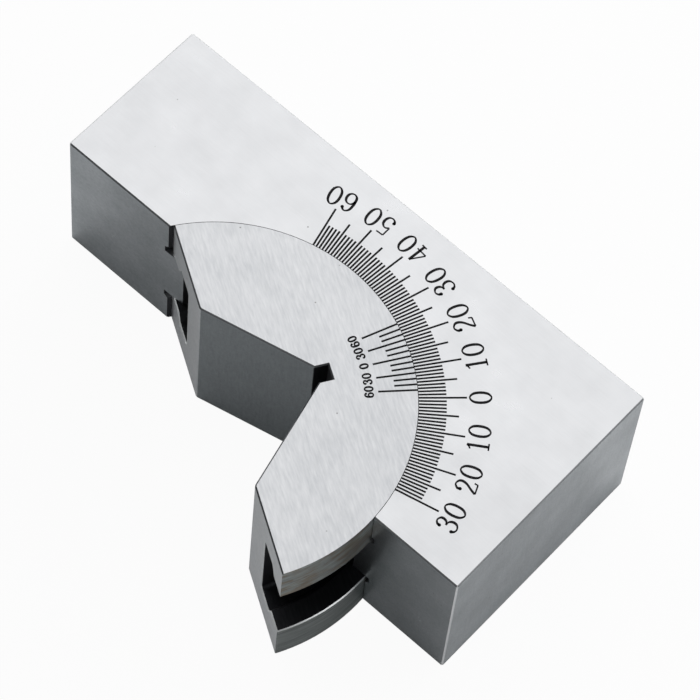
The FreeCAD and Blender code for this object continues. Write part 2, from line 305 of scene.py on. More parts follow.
@dataclass
class Surface:
    """The sockets that a metal's shader is made from, by meaning.  A mask is 1 inside, else 0."""

    tree: NodeTree
    place: Any
    facing: Any
    tone: Any
    colour: Any = None
    rough: Any = None

    def tint(self, mask: Any, tint: Tint, tone: Any = None) -> None:
        """Recolour part of the surface.

        Args:
            mask: 1 where the new colours go.
            tint: the new colours.
            tone: another pattern to use in place of the surface's own.
        """
        colours = tint.colour(self.tree, self.tone if tone is None else tone)
        self.colour = blend(self.tree, mask, self.colour, colours)

    def roughen(self, mask: Any, least: float) -> None:
        """Make part of the surface at least this rough."""
        floor = math_node(self.tree, "MULTIPLY", mask, least)
        self.rough = math_node(self.tree, "MAXIMUM", self.rough, floor)

    def over(self, value: Any, limit: float) -> Any:
        """Mask where a value is over a limit."""
        return math_node(self.tree, "GREATER_THAN", value, limit)

    def under(self, value: Any, limit: float) -> Any:
        """Mask where a value is under a limit."""
        return math_node(self.tree, "LESS_THAN", value, limit)

    def between(self, value: Any, low: float, high: float) -> Any:
        """Mask where a value lies between two limits."""
        return self.meet(self.over(value, low), self.under(value, high))

    def meet(self, *masks: Any) -> Any:
        """Mask where all of several masks meet."""
        return reduce(lambda first, second: math_node(self.tree, "MULTIPLY", first, second), masks)

    def either(self, first: Any, second: Any) -> Any:
        """Mask where at least one of two masks is."""
        return math_node(self.tree, "MAXIMUM", first, second)

    def outside(self, mask: Any) -> Any:
        """Mask where another mask isn't."""
        return math_node(self.tree, "SUBTRACT", 1.0, mask)

    def cosine(self, direction: Any) -> Any:
        """Give the cosine between the way the surface faces and a direction."""
        return vector_node(self.tree, "DOT_PRODUCT", self.facing, direction)

    def along(self, direction: Any) -> Any:
        """Give how far the surface faces along a direction, either way, from 0 to 1."""
        return math_node(self.tree, "ABSOLUTE", self.cosine(direction))

    def upright(self) -> Any:
        """Mask the faces that stand up."""
        return self.under(self.along(UP), SLOPE_STARTS)

    def sloping(self) -> Any:
        """Mask the broken edges of the level faces."""
        return self.between(self.along(UP), SLOPE_STARTS, SLOPE_ENDS)

    def around(self, pivot: tuple[float, float]) -> tuple[Any, Any, Any]:
        """Measure the surface from an upright axis.

        Args:
            pivot: where the axis stands.

        Returns:
            The place from the axis, its distance, and the outward direction.
        """
        centred = vector_node(self.tree, "SUBTRACT", self.place, (*pivot, 0.0))
        flat = vector_node(self.tree, "MULTIPLY", centred, (1.0, 1.0, 0.0))
        distance = vector_node(self.tree, "LENGTH", flat)
        return centred, distance, vector_node(self.tree, "NORMALIZE", flat)


@dataclass(frozen=True)
class GroundSteel:
    """Hardened tool steel, surface ground and lightly oiled.

    The eye sees a bright satin metal with faint parallel wheel marks, soft clouding where
    oil was wiped off, and a few tiny dark specks.  The sides are painted darker than the top, as
    shade.
    """

    name: str
    lay: Lay
    top: Tint = Tint("d2d3d5", "d9dadc")
    # painted shade: the upright faces are darker than the top
    side: Tint = Tint("949a9d", "b6bbbe")
    edge: Tint = Tint("66686a", "66686a")       # painted shade: edge breaks darker than the faces, as the dark reflection along them
    speck: str = "4b4743"
    roughness: float = 0.30
    rougher: float = 0.05           # how much rougher the darkest tone is
    smoother: float = 0.03          # how much smoother the brightest tone is
    mark_length_mm: float = 7.0
    mark_width_mm: float = 0.32     # real wheel marks are near 0.05 mm, too fine to show
    mark_depth_mm: float = 0.0012
    mark_share: float = 0.3         # how much of the tone is wheel marks, the rest is clouding
    cloud_mm: float = 7.0
    tone_range: tuple[float, float] = (0.34, 0.66)
    grain_mm: float = 0.45          # blasted-looking grain that the sides keep under the marks
    grain_share: float = 0.45       # how much of the sides' tone is grain
    grain_range: tuple[float, float] = (0.3, 0.7)
    ends_on: float = 0.6            # faces this square to the lay carry upright marks
    speck_spacing_mm: float = 4.5
    speck_reach: float = 0.042      # radius of a speck as a share of the spacing
    speck_strength: float = 0.6

    def build(self) -> bpy.types.Material:
        """Make the material.

        Returns:
            The finished material.
        """
        material, tree = new_material(self.name)
        where = add_node(tree, "ShaderNodeTexCoord")
        place, facing = where.outputs["Object"], where.outputs["Normal"]
        marks = self.wheel_marks(tree, place, facing)
        clouds = noise(tree, place, self.cloud_mm * MM, 3.0, 0.55)
        soft = math_node(tree, "MULTIPLY", clouds, 1 - self.mark_share)
        mixed = math_node(tree, "MULTIPLY_ADD", marks, self.mark_share, soft)
        tone = spread(tree, mixed, self.tone_range)
        grain = spread(tree, noise(tree, place, self.grain_mm * MM, 2.0, 0.6), self.grain_range)
        metal = Surface(tree, place, facing, tone)
        share = math_node(tree, "MULTIPLY", metal.upright(), self.grain_share)
        metal.tone = add_node(tree, "ShaderNodeMix", in0=share, in2=tone, in3=grain).outputs[0]
        metal.colour = self.top.colour(tree, metal.tone)
        metal.rough = spread(tree, metal.tone, (0.0, 1.0),
                             (self.roughness + self.rougher, self.roughness - self.smoother))
        # painted shade on the upright faces
        metal.tint(metal.upright(), self.side)
        # painted shade on the edge breaks
        metal.tint(metal.sloping(), self.edge)
        self.worked_zones(metal)
        metal.colour = blend(tree, self.specks(tree, place), metal.colour, srgb(self.speck))
        relief = add_node(tree, "ShaderNodeBump", Height=marks, Strength=1.0,
                          Distance=self.mark_depth_mm * MM)
        shader = add_node(tree, "ShaderNodeBsdfPrincipled", Base_Color=metal.colour,
                          Metallic=1.0, Roughness=metal.rough, Normal=relief.outputs[0])
        finish_material(tree, shader.outputs[0])
        return material

    def wheel_marks(self, tree: NodeTree, place: Any, facing: Any) -> Any:
        """Long thin streaks along the lay, and upright ones on faces that the lay runs into.

        Args:
            tree: the material's tree.
            place: object coordinates.
            facing: the object-space normal.

        Returns:
            The height of the marks, from 0 to 1.
        """
        length, width = self.mark_length_mm * MM, self.mark_width_mm * MM
        turn = math.radians(self.lay.value)
        level, standing = (
            noise(tree, laid_out(tree, place, size, turn), 1.0, 4.0, 0.62)
            for size in ((length, width, width), (width, width, length)))
        along = vector_node(tree, "DOT_PRODUCT", facing, heading(self.lay.value))
        square = math_node(tree, "GREATER_THAN", math_node(tree, "ABSOLUTE", along), self.ends_on)
        return add_node(tree, "ShaderNodeMix", in0=square, in2=level, in3=standing).outputs[0]

    def specks(self, tree: NodeTree, place: Any) -> Any:
        """Sparse tiny dark spots; returns a mask."""
        cells = add_node(tree, "ShaderNodeTexVoronoi", Vector=place,
                         Scale=1 / (self.speck_spacing_mm * MM))
        return spread(tree, cells.outputs["Distance"], (self.speck_reach / 2, self.speck_reach),
                      (self.speck_strength, 0.0))

    def worked_zones(self, metal: Surface) -> None:
        """Leave the surface as it is: the whole part is ground."""


@dataclass(frozen=True)
class BlockSteel(GroundSteel):
    """Ground steel with painted shade in its bored pocket and painted highlights on its upright
    corners and on the edge breaks that face one side.
    """

    stoned: Tint = Tint("e6e8e9", "f2f3f4")     # painted highlight on the upright corners and edge breaks
    oily: Tint = Tint("343538", "3f4043")       # painted shade in the bored pocket, a recess
    pivot: tuple[float, float] = (0.0, 0.0)
    pocket_reach: float = 33.3 * MM
    pocket_facing: float = 0.92     # the pocket's wall faces the pivot at least this squarely
    pocket_roughness: float = 0.5
    corner_lean: float = 0.5        # a corner faces both ways by more than this
    stoned_side: float = 132.0      # the edge breaks facing this side get the painted highlight, in degrees
    stoned_facing: float = 0.2

    def worked_zones(self, metal: Surface) -> None:
        """Paint highlights on the corners and on the edge breaks that face one side, and shade in
        the pocket.

        Args:
            metal: the surface so far; it gets the new colours and roughness.
        """
        lengthwise, crosswise = (metal.over(metal.along(axis), self.corner_lean)
                                 for axis in ((1.0, 0.0, 0.0), (0.0, 1.0, 0.0)))
        # painted highlight on the upright corners
        metal.tint(metal.meet(lengthwise, crosswise), self.stoned)
        this_side = metal.over(metal.cosine(heading(self.stoned_side)), self.stoned_facing)
        # painted highlight on the edge breaks that face stoned_side
        metal.tint(metal.meet(metal.sloping(), this_side), self.stoned)
        _, distance, outward = metal.around(self.pivot)
        pocket = metal.meet(metal.over(metal.along(outward), self.pocket_facing),
                            metal.under(distance, self.pocket_reach), metal.upright())
        # painted shade in the pocket
        metal.tint(pocket, self.oily)
        metal.roughen(pocket, self.pocket_roughness)


@dataclass(frozen=True)
class RotorSteel(GroundSteel):
    """Ground steel whose round rim was turned and whose tee slot was milled; the slots are painted
    dark as shade.

    The two faces beside the vee are painted brighter as a reflection, the rim shows fine turning
    lines and a brown stain on its upper band, painted highlights line the tee slot's mouth, and the
    slots are painted dark as shade.
    """

    # painted reflection: the two chord faces beside the vee are brighter
    lapped: Tint = Tint("d0d4d6", "e9ebec")
    turned: Tint = Tint("7f8584", "aeb4b3")
    stained: Tint = Tint("74695a", "968d7d")
    stoned: Tint = Tint("d4d8d9", "eef0f0")     # painted highlight on the broken edges round the tee slot's mouth
    oily: Tint = Tint("303134", "3d3e41")       # painted shade in the tee slot and the relief slot
    pivot: tuple[float, float] = (0.0, 0.0)
    axis: float = 0.0               # the way from the vee's mouth to its root, in degrees
    rim_radius: float = 32.2 * MM
    lip_radius: float = 31.9 * MM   # the tee slot's mouth at the rim lies beyond this
    round_facing: float = 0.5
    chord_facing: float = 0.9
    mouth_facing: tuple[float, float] = (0.5, 0.88)     # the broken edge in the chord faces
    slot_low: float = 5.6 * MM
    slot_high: float = 26.4 * MM
    slot_reach: float = 20.0 * MM   # the tee slot lies beyond this, the vee within
    slot_roughness: float = 0.55
    middle: float = 16.0 * MM
    relief_half: float = 1.45 * MM
    relief_reach: float = 25.0 * MM
    rim_roughness: float = 0.40
    turning_length_mm: float = 9.0
    turning_pitch_mm: float = 0.5
    turning_range: tuple[float, float] = (0.3, 0.7)
    stain_mm: float = 5.0
    stain_height_mm: float = 1.5
    stain_range: tuple[float, float] = (0.44, 0.56)
    stain_strength: float = 0.85

    def worked_zones(self, metal: Surface) -> None:
        """Paint light on the chord faces, colour the turned rim, paint shade in the tee slot and
        the relief slot, and paint highlights round the tee slot's mouth.

        Args:
            metal: the surface so far; it gets the new colours and roughness.
        """
        tree = metal.tree
        centred, distance, outward = metal.around(self.pivot)
        is_round = metal.over(metal.along(outward), self.round_facing)
        is_outer = metal.over(distance, self.rim_radius)
        height = add_node(tree, "ShaderNodeSeparateXYZ", Vector=metal.place).outputs[2]
        chord = metal.cosine(heading(self.axis + 180))
        # painted reflection on the chord faces
        metal.tint(metal.over(chord, self.chord_facing), self.lapped)
        self.turn_rim(metal, metal.meet(is_round, is_outer), centred, height)
        near_slot = metal.meet(metal.between(height, self.slot_low, self.slot_high),
                               metal.over(distance, self.slot_reach))
        walls = metal.either(metal.outside(metal.upright()), is_round)
        slot = metal.meet(walls, near_slot, metal.outside(is_outer))
        lined_up = laid_out(tree, centred, turn=math.radians(self.axis))
        aside = add_node(tree, "ShaderNodeSeparateXYZ", Vector=lined_up).outputs[1]
        narrow = metal.under(math_node(tree, "ABSOLUTE", aside), self.relief_half)
        relief = metal.meet(narrow, metal.under(distance, self.relief_reach), metal.upright())
        dark = metal.either(slot, relief)
        # painted shade in the tee slot and the relief slot, which are recesses
        metal.tint(dark, self.oily)
        metal.roughen(dark, self.slot_roughness)
        at_rim = metal.meet(metal.sloping(), metal.over(distance, self.lip_radius))
        mouth = metal.either(metal.between(chord, *self.mouth_facing), at_rim)
        # painted highlight round the tee slot's mouth
        metal.tint(metal.meet(mouth, near_slot), self.stoned)

    def turn_rim(self, metal: Surface, rim: Any, centred: Any, height: Any) -> None:
        """Draw turning lines round the rim and a stain on its upper band.

        Args:
            metal: the surface so far.
            rim: 1 on the rim.
            centred: the place from the pivot.
            height: the height above the base.
        """
        tree = metal.tree
        length, pitch = self.turning_length_mm * MM, self.turning_pitch_mm * MM
        lines = laid_out(tree, centred, (length, length, pitch))
        grooves = spread(tree, noise(tree, lines, 1.0, 3.0, 0.55), self.turning_range)
        metal.tint(rim, self.turned, grooves)
        reach = self.stain_mm * MM
        band = laid_out(tree, centred, (reach, reach, self.stain_height_mm * MM))
        patch = spread(tree, noise(tree, band, 1.0, 4.0, 0.6), self.stain_range,
                       (0.0, self.stain_strength))
        upper = metal.over(height, self.middle)
        metal.tint(metal.meet(patch, upper, rim), self.stained, grooves)
        metal.roughen(rim, self.rim_roughness)


@dataclass(frozen=True)
class EngravingPaint:
    """Black enamel wiped into engraved lines: matt, near black, a little greyer where thin."""

    name: str = "black_engraving_enamel"
    film: Tint = Tint("0c0c0d", "1c1c1e")
    patch_mm: float = 0.5
    roughness: float = 0.62
    gloss: float = 0.15             # wiped paint in a groove hardly shines

    def build(self) -> bpy.types.Material:
        """Make the material.

        Returns:
            The finished material.
        """
        material, tree = new_material(self.name)
        place = add_node(tree, "ShaderNodeTexCoord").outputs["Object"]
        colour = self.film.colour(tree, noise(tree, place, self.patch_mm * MM, 2.0))
        shader = add_node(tree, "ShaderNodeBsdfPrincipled", Base_Color=colour, Metallic=0.0,
                          Roughness=self.roughness, Specular_IOR_Level=self.gloss)
        finish_material(tree, shader.outputs[0])
        return material


@dataclass(frozen=True)
class BlackOxide:
    """Alloy steel, black oxide finish, oiled: charcoal metal, brighter where the knurl wore."""

    name: str = "black_oxide_steel"
    film: Tint = Tint("303134", "5d5e61")
    grain_mm: float = 0.4
    worn_from: tuple[float, float] = (0.52, 0.62)   # pointiness where wear starts and is full
    roughness: tuple[float, float] = (0.34, 0.48)

    def build(self) -> bpy.types.Material:
        """Make the material.

        Returns:
            The finished material.
        """
        material, tree = new_material(self.name)
        place = add_node(tree, "ShaderNodeTexCoord").outputs["Object"]
        grain = noise(tree, place, self.grain_mm * MM, 3.0)
        edge = add_node(tree, "ShaderNodeNewGeometry").outputs["Pointiness"]
        wear = math_node(tree, "MULTIPLY", spread(tree, edge, self.worn_from), grain)
        shader = add_node(tree, "ShaderNodeBsdfPrincipled", Base_Color=self.film.colour(tree, wear),
                          Metallic=1.0, Roughness=spread(tree, grain, (0.0, 1.0), self.roughness))
        finish_material(tree, shader.outputs[0])
        return material


# ------------------------------------------------------------------ numerals
class Pen(Enum):
    """How a stroke's width follows its direction."""

    SWELLING = "thick upright, thin level"
    THICK = "thick throughout"
    THIN = "thin throughout"


@dataclass(frozen=True)
class Stroke:
    """One stroke of a numeral through points in figure heights, x from the middle.

    A dot_at of 0 ends the stroke's start in a dot, and -1 its end.
    """

    points: tuple[tuple[float, float], ...]
    pen: Pen = Pen.SWELLING
    closed: bool = False
    dot_at: tuple[int, ...] = ()

    def path(self, steps: int = 8) -> list[tuple[float, float]]:
        """Round the stroke into a smooth line.

        Args:
            steps: places worked out on each span.

        Returns:
            Points along the stroke; a two-point stroke stays straight.
        """
        given = [Vector(p) for p in self.points]
        if len(given) == 2:
            return [tuple(p) for p in given]
        count = len(given)
        spans = count if self.closed else count - 1
        line = []
        for i in range(spans):
            if self.closed:
                a, b, c, d = (given[(i + k) % count] for k in (-1, 0, 1, 2))
            else:
                a, b, c, d = (given[min(max(i + k, 0), count - 1)] for k in (-1, 0, 1, 2))
            for step in range(steps):
                t = step / steps
                line.append(tuple(0.5 * (2 * b + (c - a) * t + (2 * a - 5 * b + 4 * c - d) * t * t
                                         + (3 * b - a - 3 * c + d) * t ** 3)))
        return line if self.closed else line + [tuple(given[-1])]


FIGURES: dict[str, tuple[Stroke, ...]] = {
    "0": (Stroke(((0.0, 1.0), (-0.20, 0.84), (-0.26, 0.5), (-0.20, 0.16), (0.0, 0.0),
                  (0.20, 0.16), (0.26, 0.5), (0.20, 0.84)), closed=True),),
    "1": (Stroke(((0.03, 1.0), (0.03, 0.0)), Pen.THICK),
          Stroke(((0.03, 1.0), (-0.05, 0.90), (-0.17, 0.84)), Pen.THIN),
          Stroke(((-0.15, 0.0), (0.21, 0.0)), Pen.THIN)),
    "2": (Stroke(((-0.20, 0.74), (-0.19, 0.88), (-0.02, 1.0), (0.17, 0.90), (0.21, 0.72),
                  (0.12, 0.50), (-0.10, 0.24), (-0.25, 0.02)), dot_at=(0,)),
          Stroke(((-0.25, 0.02), (0.22, 0.02)), Pen.THIN),
          Stroke(((0.22, 0.0), (0.27, 0.19)), Pen.THIN)),
    "3": (Stroke(((-0.20, 0.80), (-0.16, 0.92), (-0.01, 1.0), (0.16, 0.91), (0.19, 0.76),
                  (0.11, 0.60), (-0.06, 0.54)), dot_at=(0,)),
          Stroke(((-0.06, 0.54), (0.14, 0.48), (0.23, 0.29), (0.17, 0.09), (-0.02, 0.0),
                  (-0.18, 0.06), (-0.24, 0.18)), dot_at=(-1,))),
    "4": (Stroke(((0.10, 1.0), (0.10, 0.0)), Pen.THICK),
          Stroke(((0.10, 1.0), (-0.29, 0.29)), Pen.THIN),
          Stroke(((-0.29, 0.29), (0.27, 0.29)), Pen.THIN),
          Stroke(((-0.05, 0.0), (0.25, 0.0)), Pen.THIN)),
    "5": (Stroke(((-0.17, 0.99), (0.21, 0.99)), Pen.THIN),
          Stroke(((-0.17, 0.99), (-0.20, 0.51)), Pen.THIN),
          Stroke(((-0.20, 0.51), (0.0, 0.61), (0.18, 0.50), (0.23, 0.30), (0.15, 0.07),
                  (-0.03, 0.0), (-0.18, 0.07), (-0.22, 0.18)), dot_at=(-1,))),
    "6": (Stroke(((0.19, 0.86), (0.12, 0.96), (0.0, 1.0), (-0.17, 0.86), (-0.24, 0.55),
                  (-0.24, 0.34)), dot_at=(0,)),
          Stroke(((0.0, 0.58), (-0.18, 0.49), (-0.24, 0.29), (-0.18, 0.09), (0.0, 0.0),
                  (0.18, 0.09), (0.24, 0.29), (0.18, 0.49)), closed=True)),
}


@dataclass(frozen=True)
class Lettering:
    """A style of engraved numerals, in millimetres: height, stroke widths and spacing."""

    height: float
    pitch: float
    thick: float
    thin: float
    dot: float
    stretch: float
    film: float = 0.02
    proud: float = 0.008            # the least that keeps the paint clear of the steel
    dot_sides: int = 16

    def write(self, mesh: bmesh.types.BMesh, text: str, middle: Vector, up: Vector,
              level: float) -> None:
        """Draw a number as thin closed slabs of paint.

        Args:
            mesh: takes the slabs.
            text: the figures.
            middle: the middle of the number, in metres.
            up: the way the figures' tops point.
            level: height of the steel under them, in metres.
        """
        right = Vector((up.y, -up.x))
        for index, figure in enumerate(text):
            shift = (index - (len(text) - 1) / 2) * self.pitch
            for stroke in FIGURES[figure]:
                self.draw(mesh, stroke, middle + right * shift * MM, right, up, level)

    def draw(self, mesh: bmesh.types.BMesh, stroke: Stroke, middle: Vector, right: Vector,
             up: Vector, level: float) -> None:
        """Draw one stroke of a figure, with its round ends.

        Args:
            mesh: takes the slabs.
            stroke: the stroke, in figure heights.
            middle: the middle of the figure.
            right: the way the figure reads.
            up: the way its top points.
            level: height of the steel under it.
        """
        wide, tall = self.height * self.stretch, self.height - self.thin
        line = [Vector((x * wide, (y - 0.5) * tall)) for x, y in stroke.path()]
        count = len(line)
        sides: list[tuple[Vector, Vector]] = []
        for i, point in enumerate(line):
            before = line[(i - 1) % count] if stroke.closed else line[max(i - 1, 0)]
            after = line[(i + 1) % count] if stroke.closed else line[min(i + 1, count - 1)]
            along = (after - before).normalized()
            across = Vector((-along.y, along.x)) * (self.width(stroke.pen, along) / 2)
            sides.append((point + across, point - across))

        def onto(point: Vector) -> Vector:
            """Carry a point of the figure onto the steel."""
            return middle + (right * point.x + up * point.y) * MM

        slabs = [(sides, stroke.closed)]
        half_turn = [math.tau * k / self.dot_sides for k in range(self.dot_sides // 2 + 1)]
        for end in stroke.dot_at:
            rims = ([line[end] + Vector((math.cos(a), way * math.sin(a))) * self.dot
                     for a in half_turn] for way in (1, -1))
            slabs.append((list(zip(*rims)), False))
        for pairs, closed in slabs:
            add_slab(mesh, [(onto(a), onto(b)) for a, b in pairs], level, self.film * MM,
                     self.proud * MM, closed)

    def width(self, pen: Pen, along: Vector) -> float:
        """Give the stroke's width in millimetres where it runs in a direction."""
        if pen is Pen.THICK:
            return self.thick
        if pen is Pen.THIN:
            return self.thin
        return self.thin + (self.thick - self.thin) * along.y ** 2


def add_slab(mesh: bmesh.types.BMesh, sides: Sequence[tuple[Vector, Vector]], level: float,
             film: float, proud: float, closed: bool) -> None:
    """Add a thin closed strip between two edges.

    Args:
        mesh: takes the strip.
        sides: the two edges' points, pair by pair, in the plane.
        level: height of the surface that it lies on.
        film: the strip's thickness.
        proud: how far it stands above the surface.
        closed: whether its end joins its start.
    """
    top = level + proud
    rows = []
    for a, b in sides:
        corners = ((a, top), (b, top), (b, top - film), (a, top - film))
        rows.append([mesh.verts.new((p.x, p.y, z)) for p, z in corners])
    pairs = list(zip(rows, rows[1:])) + ([(rows[-1], rows[0])] if closed else [])
    for first, second in pairs:
        for k in range(4):
            n = (k + 1) % 4
            mesh.faces.new((first[k], first[n], second[n], second[k]))
    if not closed:
        mesh.faces.new(rows[0][::-1])
        mesh.faces.new(rows[-1])


# ------------------------------------------------------------------ scales
def scale_line_tree() -> ShapeTree:
    """Build the tree that fans lines of three lengths round a pivot.

    Returns:
        A tree with the scale's sizes as inputs.
    """
    shape = ShapeTree("scale_lines", {
        "Count": 91, "First Angle": 0.0, "Step": 0.02, "Edge Radius": 0.03, "Short Radius": 0.035,
        "Middle Radius": 0.037, "Long Radius": 0.039, "Middle Every": 5.0, "Long Every": 10.0,
        "Line Width": 0.0002, "Film": 0.0001, "Level": 0.03, "Pivot": Vector((0.0, 0.0, 0.0)),
    })
    tree, given = shape.tree, shape.given
    index = add_node(tree, "GeometryNodeInputIndex").outputs[0]
    angle = math_node(tree, "MULTIPLY_ADD", index, given["Step"], given["First Angle"])
    tip = given["Short Radius"]
    for every, reach in (("Middle Every", "Middle Radius"), ("Long Every", "Long Radius")):
        left_over = math_node(tree, "MODULO", index, given[every])
        is_mark = math_node(tree, "LESS_THAN", left_over, 0.5)
        tip = add_node(tree, "GeometryNodeSwitch", {"input_type": "FLOAT"}, Switch=is_mark,
                       in1=tip, in2=given[reach]).outputs[0]
    length = math_node(tree, "ABSOLUTE", math_node(tree, "SUBTRACT", tip, given["Edge Radius"]))
    radius = math_node(tree, "MULTIPLY", math_node(tree, "ADD", tip, given["Edge Radius"]), 0.5)
    east = math_node(tree, "MULTIPLY", math_node(tree, "COSINE", angle), radius)
    north = math_node(tree, "MULTIPLY", math_node(tree, "SINE", angle), radius)
    middle = math_node(tree, "MULTIPLY_ADD", given["Film"], -0.5, given["Level"])
    spot = vector_node(tree, "ADD", combine(tree, east, north, middle), given["Pivot"])
    points = add_node(tree, "GeometryNodePoints", Count=given["Count"], Position=spot)
    bar = add_node(tree, "GeometryNodeMeshCube", Size=(1.0, 1.0, 1.0))
    lines = add_node(tree, "GeometryNodeInstanceOnPoints", Points=points.outputs[0],
                     Instance=bar.outputs[0], Rotation=combine(tree, 0.0, 0.0, angle),
                     Scale=combine(tree, length, given["Line Width"], given["Film"]))
    shape.close(lines.outputs[0])
    return shape


@dataclass(frozen=True)
class Scale:
    """One engraved scale: its lines and its numbers.  Lengths are millimetres."""

    name: str
    body: str
    first_angle: float
    step: float
    count: int
    edge_radius: float
    radii: tuple[float, float, float]
    every: tuple[int, int]
    labels: tuple[tuple[float, str], ...]
    label_radius: float
    lettering: Lettering
    line_width: float = 0.37        # the groove is narrower and trims the paint
    film: float = 0.07
    below: float = 0.015            # how far the paint's face lies under the steel's

    def build(self, lines: ShapeTree, pivot: Vector, level: float,
              paint: bpy.types.Material) -> None:
        """Fill the engraved lines with paint and draw the numbers.

        Args:
            lines: the tree that makes scale lines.
            pivot: the scale's centre.
            level: height of the face that it is cut into.
            paint: the enamel.
        """
        empty = bpy.data.meshes.new(self.name + "_lines")
        piece = mesh_object(self.name + "_lines", empty, paint)
        short, middle, long = (r * MM for r in self.radii)
        lines.bake(piece, {
            "Count": self.count, "First Angle": math.radians(self.first_angle),
            "Step": math.radians(self.step), "Edge Radius": self.edge_radius * MM,
            "Short Radius": short, "Middle Radius": middle, "Long Radius": long,
            "Middle Every": float(self.every[0]), "Long Every": float(self.every[1]),
            "Line Width": self.line_width * MM, "Film": self.film * MM,
            "Level": level - self.below * MM, "Pivot": pivot,
        })
        place_piece(piece, self.body)
        self.number(pivot, level, paint)

    def number(self, pivot: Vector, level: float, paint: bpy.types.Material) -> None:
        """Draw the scale's numbers, tops towards the pivot.

        Args:
            pivot: the scale's centre.
            level: height of the face.
            paint: the enamel.
        """
        drawn = bmesh.new()
        for angle, text in self.labels:
            outward = Vector(heading(angle)).xy
            middle = pivot.xy + outward * self.label_radius * MM
            self.lettering.write(drawn, text, middle, -outward, level)
        bmesh.ops.recalc_face_normals(drawn, faces=drawn.faces)
        mesh = bpy.data.meshes.new(self.name + "_numerals")
        drawn.to_mesh(mesh)
        drawn.free()
        place_piece(mesh_object(self.name + "_numerals", mesh, paint), self.body)


# ------------------------------------------------------------------ screws
def screw_detail_tree() -> ShapeTree:
    """Build the tree that adds a knurl and a threaded shank to a plain screw head.

    Returns:
        A tree whose Geometry input is the head, seat at height 0, axis upright.
    """
    shape = ShapeTree("cap_screw_detail", {
        "Ridges": 48, "Knurl Radius": 0.005, "Knurl Low": 0.001, "Knurl Length": 0.004,
        "Ridge Size": 0.0003, "Thread Radius": 0.003, "Thread Depth": 0.0006,
        "Thread Pitch": 0.001, "Shank Length": 0.016, "Tip Radius": 0.0022, "Rows": 96,
    })
    tree, given = shape.tree, shape.given
    ring = add_node(tree, "GeometryNodeMeshCircle", Vertices=given["Ridges"],
                    Radius=given["Knurl Radius"])
    half = math_node(tree, "MULTIPLY_ADD", given["Knurl Length"], 0.5, given["Knurl Low"])
    raised = add_node(tree, "GeometryNodeTransform", Geometry=ring.outputs[0],
                      Translation=combine(tree, 0.0, 0.0, half))
    ridge = add_node(tree, "GeometryNodeMeshCylinder", Vertices=4, Radius=given["Ridge Size"],
                     Depth=given["Knurl Length"])
    spot = add_node(tree, "GeometryNodeInputPosition").outputs[0]
    apart = add_node(tree, "ShaderNodeSeparateXYZ", Vector=spot)
    angle = math_node(tree, "ARCTAN2", apart.outputs[1], apart.outputs[0])
    knurl = add_node(tree, "GeometryNodeInstanceOnPoints", Points=raised.outputs[0],
                     Instance=ridge.outputs["Mesh"], Rotation=combine(tree, 0.0, 0.0, angle))
    blank = add_node(tree, "GeometryNodeMeshCylinder", Vertices=32, Side_Segments=given["Rows"],
                     Radius=1.0, Depth=given["Shank Length"])
    turns = math_node(tree, "DIVIDE", apart.outputs[2], given["Thread Pitch"])
    phase = math_node(tree, "MULTIPLY_ADD", angle, -1 / math.tau, turns)
    wave = math_node(tree, "PINGPONG", math_node(tree, "FRACT", phase), 0.5)
    cut = math_node(tree, "MULTIPLY", math_node(tree, "MULTIPLY", wave, 2.0), given["Thread Depth"])
    threaded = math_node(tree, "SUBTRACT", given["Thread Radius"], cut)
    from_tip = math_node(tree, "MULTIPLY_ADD", given["Shank Length"], 0.5, apart.outputs[2])
    bevel = math_node(tree, "ADD", from_tip, given["Tip Radius"])
    radius = math_node(tree, "MINIMUM", threaded, bevel)
    shaped = vector_node(tree, "MULTIPLY", spot, combine(tree, radius, radius, 1.0))
    drop = math_node(tree, "MULTIPLY", given["Shank Length"], -0.5)
    lowered = vector_node(tree, "ADD", shaped, combine(tree, 0.0, 0.0, drop))
    shank = add_node(tree, "GeometryNodeSetPosition", Geometry=blank.outputs["Mesh"],
                     Position=lowered)
    joined = add_node(tree, "GeometryNodeJoinGeometry")
    for part in (given["Geometry"], knurl.outputs[0], shank.outputs[0]):
        tree.links.new(part, joined.inputs[0])
    shape.close(joined.outputs[0])
    return shape


